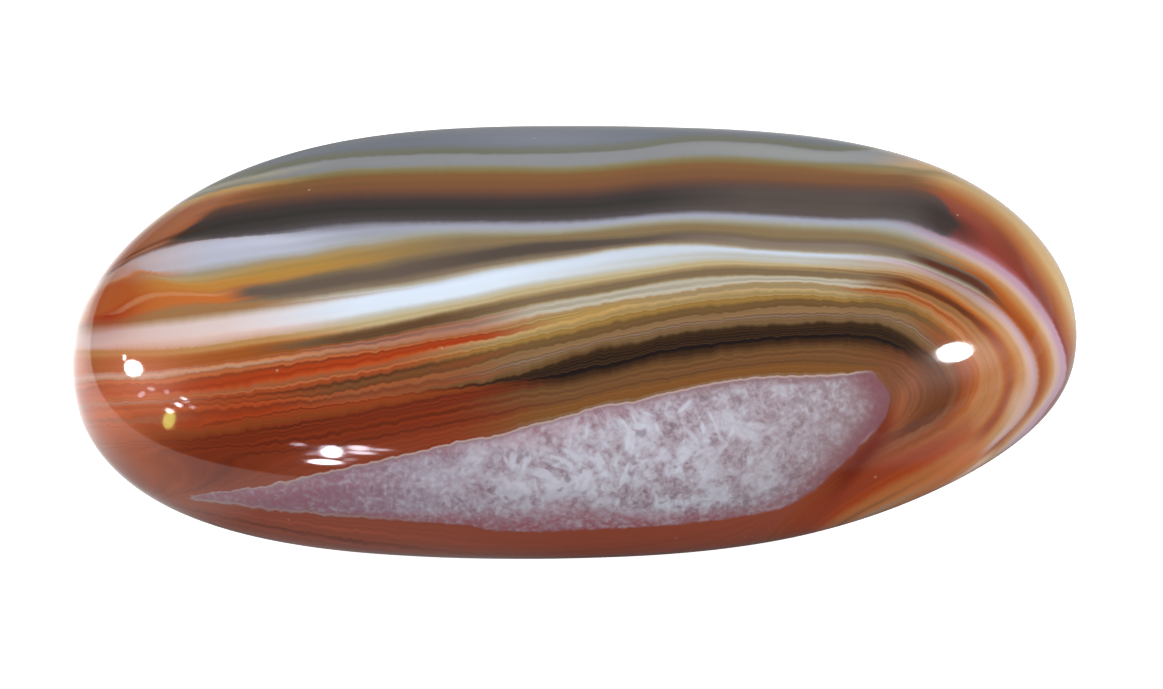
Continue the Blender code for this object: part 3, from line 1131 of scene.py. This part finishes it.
def needles(place, turn):
    """Thin pale strokes that all run one way, in scattered patches."""
    rotate = new_node(tree_of(place), "VectorRotate", Vector=place, Angle=math.radians(turn))
    rotate.rotation_type = "Z_AXIS"
    turned = vector_calculate("MULTIPLY", output(rotate, "Vector"), NEEDLE_SCALE)
    elsewhere = vector_calculate("ADD", place, (turn, 0.0, 0.0))
    return pattern(turned, *NEEDLE_STROKES) * pattern(elsewhere, *NEEDLE_PATCHES)


def quartz_body(place):
    """Milky quartz: fine grains, pale clouds, crossing needles and dark spots."""
    strokes = 0.0
    for turn in NEEDLE_TURNS:
        strokes = calculate("MAXIMUM", strokes, needles(place, turn))
    elsewhere = vector_calculate("ADD", place, QUARTZ_SPOT_SHIFT)
    return layered(linear(QUARTZ_SHADE), [
        (pattern(place, *QUARTZ_GRAINS), QUARTZ_GREY),
        (pattern(place, *QUARTZ_CLOUDS), QUARTZ_WHITE),
        (strokes * NEEDLE_STRENGTH, QUARTZ_WHITE),
        (pattern(elsewhere, *QUARTZ_SPOTS), QUARTZ_SPOT),
    ])


def quartz_stain(tree, place, level, colour):
    """Tint the quartz lilac and violet towards its left tip and its rim, and brownish at the right."""
    along = attribute(tree, ALONG)
    lower = attribute(tree, LOWER_STRETCH)
    uneven = pattern(place, *QUARTZ_UNEVENNESS)
    near_rim = remap(level, *QUARTZ_NEAR_RIM, smooth=True)
    violet_rim = near_rim * remap(lower, *QUARTZ_VIOLET_SIDE)
    violet = calculate("MAXIMUM", violet_rim, remap(along, *QUARTZ_LEFT_TIP))
    brown_rim = remap(level, *QUARTZ_BROWN_DEPTH) * remap(lower, *QUARTZ_BROWN_SIDE)
    browning = brown_rim * remap(along, *QUARTZ_BROWNING)
    dusk = calculate("MAXIMUM", browning, remap(along, *QUARTZ_RIGHT_TIP))
    return layered(colour, [
        (remap(along, *QUARTZ_LEFT_LILAC) * uneven, QUARTZ_LILAC),
        (violet * uneven, QUARTZ_VIOLET),
        (dusk * uneven, QUARTZ_DUSK),
        (near_rim * remap(along, *QUARTZ_WINE_RISE), QUARTZ_WINE),
    ])


def quartz_outline(tree, depth, colour):
    """Draw the pale line and the violet shadow that the quartz has along its upper rim."""
    along = attribute(tree, ALONG)
    before_tip = remap(along, *QUARTZ_RIM_END, 1.0, 0.0)
    upper = remap(attribute(tree, LOWER_STRETCH), *QUARTZ_UPPER_OUTLINE) * before_tip
    outlined = calculate("MAXIMUM", upper, remap(along, *QUARTZ_LEFT_OUTLINE))
    return layered(colour, [
        (remap(depth, *QUARTZ_RIM_SHADOW) * outlined, QUARTZ_RIM_VIOLET),
        (remap(depth, *QUARTZ_RIM_LINE) * outlined, QUARTZ_RIM_PALE),
    ])


def quartz_share(tree, depth):
    """1 in the quartz core and 0 outside it, with a softer edge along its lower and right side."""
    lower = remap(attribute(tree, LOWER_STRETCH), *QUARTZ_LOWER_SOFTENING, *QUARTZ_EDGE_SOFTNESS)
    right = remap(attribute(tree, ALONG), *QUARTZ_RIM_END, *QUARTZ_EDGE_SOFTNESS)
    softness = calculate("MAXIMUM", lower, right)
    return remap(depth, softness * -1.0, softness)


def speckled(place, colour):
    """A few pale specks in the polish."""
    cell = new_node(tree_of(place), "TexVoronoi", Vector=place, Scale=SPECK_SCALE)
    dot = remap(output(cell, "Distance"), SPECK_RADIUS, SPECK_RADIUS * 2, 1.0, 0.0)
    chosen = remap(red_of(output(cell, "Color")), *SPECK_CHANCE)
    return layered(colour, [(dot * chosen, CREAM)])


def agate_material():
    material = bpy.data.materials.new("polished_banded_agate")
    material.use_nodes = True
    tree = material.node_tree
    place = millimetres(tree)
    level, depth = rippled(tree, place)
    lines = fine_lines(tree, place, level)
    shade = lines * LINE_STRENGTH + 1.0
    grey = output(new_node(tree, "CombineColor", Red=shade, Green=shade, Blue=shade), "Color")
    bands = mix(1.0, agate_colour(tree, level), grey, "MULTIPLY")
    quartz = quartz_outline(tree, depth, quartz_stain(tree, place, level, quartz_body(place)))
    colour = mix(quartz_share(tree, depth), bands, quartz)
    height = lines * remap(level, *RELIEF_LEVELS)
    relief = new_node(tree, "Bump", Strength=1.0, Distance=LINE_RELIEF, Height=height)
    set_inputs(
        tree.nodes["Principled BSDF"],
        Base_Color=speckled(place, colour),
        Roughness=STONE_ROUGHNESS,
        IOR=STONE_IOR,
        Normal=output(relief, "Normal"),
    )
    return material


def make_stone():
    surface = cube_mesh()
    points, middle = fit_to_frame(polish_by_hand(rounded_form(vertex_vectors(surface, "co"))))
    surface.vertices.foreach_set("co", points.ravel())
    surface.update()
    surface.shade_smooth()
    surface.materials.append(agate_material())
    dress_surface(surface, points, camera_place(middle))
    stone = bpy.data.objects.new("agate_stone", surface)
    bpy.context.scene.collection.objects.link(stone)
    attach(stone, "root")
    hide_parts(STONE_NODE)
    return stone, points, middle


def place_camera(middle):
    camera = bpy.data.objects.new("camera", bpy.data.cameras.new("camera"))
    camera.data.lens = LENS
    camera.data.sensor_width = SENSOR_WIDTH
    camera.data.clip_start = CAMERA_NEAR
    camera.data.clip_end = CAMERA_FAR
    turn = Matrix(np.array(camera_axes()).T).to_4x4()
    camera.matrix_world = Matrix.Translation(camera_place(middle)) @ turn
    bpy.context.scene.collection.objects.link(camera)
    bpy.context.scene.camera = camera


def level_sheet(name, material_name, size, gap):
    """A square sheet, a gap below the stone, that lights nothing; also return its node tree."""
    bpy.ops.mesh.primitive_plane_add(size=size, location=(0, 0, -gap))
    sheet = bpy.context.active_object
    sheet.name = name
    material = bpy.data.materials.new(material_name)
    material.use_nodes = True
    sheet.data.materials.append(material)
    sheet.visible_diffuse = False
    return sheet, material.node_tree


def pale_floor():
    """The floor that the camera sees; the stone's polish shows the card instead."""
    floor, tree = level_sheet("floor", "pale_floor", FLOOR_SIZE, FLOOR_GAP)
    set_inputs(
        tree.nodes["Principled BSDF"],
        Base_Color=FLOOR_COLOUR,
        Roughness=FLOOR_ROUGHNESS,
        Emission_Color=(1, 1, 1, 1),
        Emission_Strength=FLOOR_GLOW,
    )
    floor.visible_glossy = False


def by_direction(place, stops):
    """A value that depends on the direction around the stone, through stops of (degrees, value)."""
    parts = new_node(tree_of(place), "SeparateXYZ", Vector=place)
    degrees = calculate("DEGREES", calculate("ARCTAN2", output(parts, "X"), output(parts, "Y")))
    greys = [(turn, (*[light / BRIGHTEST_LIGHT] * 3, 1.0)) for turn, light in stops]
    return red_of(ramp(degrees, greys)) * BRIGHTEST_LIGHT


def between(value, low, high):
    """1 between two limits and 0 past them, with soft edges."""
    above = remap(value, low - SHADE_SOFTNESS, low + SHADE_SOFTNESS, smooth=True)
    below = remap(value, high + SHADE_SOFTNESS, high - SHADE_SOFTNESS, smooth=True)
    return above * below


def mirrored_card():
    """The floor as the stone's polish shows it: lit by direction, and dark in front of the stone."""
    card, tree = level_sheet("mirrored_card", "mirrored_card", CARD_SIZE, CARD_GAP)
    tree.nodes.clear()
    place = output(new_node(tree, "TexCoord"), "Object")
    parts = new_node(tree, "SeparateXYZ", Vector=place)
    sideways, inwards = output(parts, "X"), output(parts, "Y")
    shade = between(sideways, *SHADE_SIDES) * between(inwards, *SHADE_ENDS) * SHADE_DEPTH
    flattened = new_node(tree, "CombineXYZ", X=sideways * NEAR_FLOOR_FLATNESS, Y=inwards)
    distance = vector_calculate("LENGTH", output(flattened, "Vector"))
    near = by_direction(place, NEAR_FLOOR_LIGHT)
    light = remap(distance, *NEAR_FLOOR_REACH, near, by_direction(place, FLOOR_LIGHT))
    light = remap(distance, *SHEET_EDGE, light, by_direction(place, DISTANT_LIGHT))
    glow = new_node(tree, "Emission", Strength=light * (1.0 - shade))
    new_node(tree, "OutputMaterial", Surface=output(glow, "Emission"))
    card.visible_camera = False
    card.visible_shadow = False


def mirrored_direction(x, y, points, normals, eye):
    """The stone's surface point at a pixel, and where the stone mirrors it to."""
    pixel_x, pixel_y = photo_pixels(points, eye)
    rays = unit(eye - points)
    facing = (normals * rays).sum(axis=1)
    away = np.hypot(pixel_x - x, pixel_y - y) + np.where(facing > 0, 0, OUT_OF_SIGHT)
    nearest = np.argsort(away)[:MIRROR_NEIGHBOURS]
    weight = 1 / (away[nearest] + MIRROR_BLUR)
    weight /= weight.sum()
    directions = 2 * facing[nearest, None] * normals[nearest] - rays[nearest]
    return weight @ points[nearest], unit(weight @ directions)


def mirrored_spread(x, y, turn, half_size, mirror):
    """How far the mirrored direction turns from a highlight's middle to its end, on one axis."""
    reach = max(half_size, LAMP_REACH_PIXELS)
    step_x = reach * math.cos(turn)
    step_y = reach * math.sin(turn)
    _, start = mirror(x - step_x, y - step_y)
    _, end = mirror(x + step_x, y + step_y)
    return (end - start) / 2 * half_size / reach


def hang_light(name, size, size_y, radiance, place, turn):
    """An elliptic lamp with the given size and radiance, which the camera doesn't see."""
    light = bpy.data.lights.new(name, "AREA")
    light.shape = "ELLIPSE"
    light.size = size
    light.size_y = size_y
    light.energy = radiance * math.pi * math.pi * size * size_y / 4
    holder = bpy.data.objects.new(name, light)
    holder.matrix_world = Matrix.Translation(place) @ turn.to_4x4()
    holder.visible_camera = False
    bpy.context.scene.collection.objects.link(holder)
    return holder


def hang_lamp(number, lamp, mirror):
    """A lamp of the shape that the stone mirrors as an ellipse in the picture."""
    x, y, half_length, half_height, tilt, radiance, colour = lamp
    turn = math.radians(tilt)
    origin, direction = mirror(x, y)
    spread = np.stack([
        mirrored_spread(x, y, turn, half_length, mirror),
        mirrored_spread(x, y, turn + math.pi / 2, half_height, mirror),
    ], axis=1)
    axes, reaches, _ = np.linalg.svd(spread, full_matrices=False)
    forwards = unit(axes[:, 0] - direction * (axes[:, 0] @ direction))
    sideways = np.cross(direction, forwards)
    length, width = 2 * LAMP_DISTANCE * reaches
    place = origin + direction * LAMP_DISTANCE
    lamp_turn = Matrix(np.array([forwards, sideways, direction]).T)
    holder = hang_light(f"lamp_{number}", length, width, radiance, place, lamp_turn)
    holder.data.color = colour
    holder.visible_diffuse = False


def hang_softbox(number, place, size, radiance):
    facing_stone = Vector(place).to_track_quat("Z", "Y").to_matrix()
    holder = hang_light(f"softbox_{number}", size, size, radiance, place, facing_stone)
    holder.visible_glossy = False


def pale_room(mirror):
    """The wall and the ceiling around the stone, and the soft glows that its polish shows."""
    world = bpy.data.worlds.new("pale_room")
    bpy.context.scene.world = world
    world.use_nodes = True
    tree = world.node_tree
    direction = output(new_node(tree, "TexCoord"), "Generated")
    height = output(new_node(tree, "SeparateXYZ", Vector=direction), "Z")
    above_wall = height - by_direction(direction, WALL_TOP)
    ceiling = remap(height, *CEILING_RISE, by_direction(direction, CEILING_LIGHT), ZENITH_LIGHT)
    wall = by_direction(direction, WALL_LIGHT)
    strength = remap(above_wall, -WALL_EDGE, WALL_EDGE, wall, ceiling, smooth=True)
    for x, y, tightness, radiance in GLOWS:
        _, towards = mirror(x, y)
        nearness = calculate("MAXIMUM", vector_calculate("DOT_PRODUCT", direction, towards), 0.0)
        strength = strength + calculate("POWER", nearness, tightness) * radiance
    set_inputs(tree.nodes["Background"], Color=(1, 1, 1, 1), Strength=strength)


def light_stone(stone, points, eye):
    normals = vertex_vectors(stone.data, "normal")

    def mirror(x, y):
        return mirrored_direction(x, y, points, normals, eye)

    pale_room(mirror)
    for number, softbox in enumerate(SOFTBOXES):
        hang_softbox(number, *softbox)
    for number, lamp in enumerate(LAMPS):
        hang_lamp(number, lamp, mirror)


def main():
    bpy.context.scene.view_settings.view_transform = "Standard"
    stone, points, middle = make_stone()
    place_camera(middle)
    pale_floor()
    mirrored_card()
    light_stone(stone, points, camera_place(middle))


main()
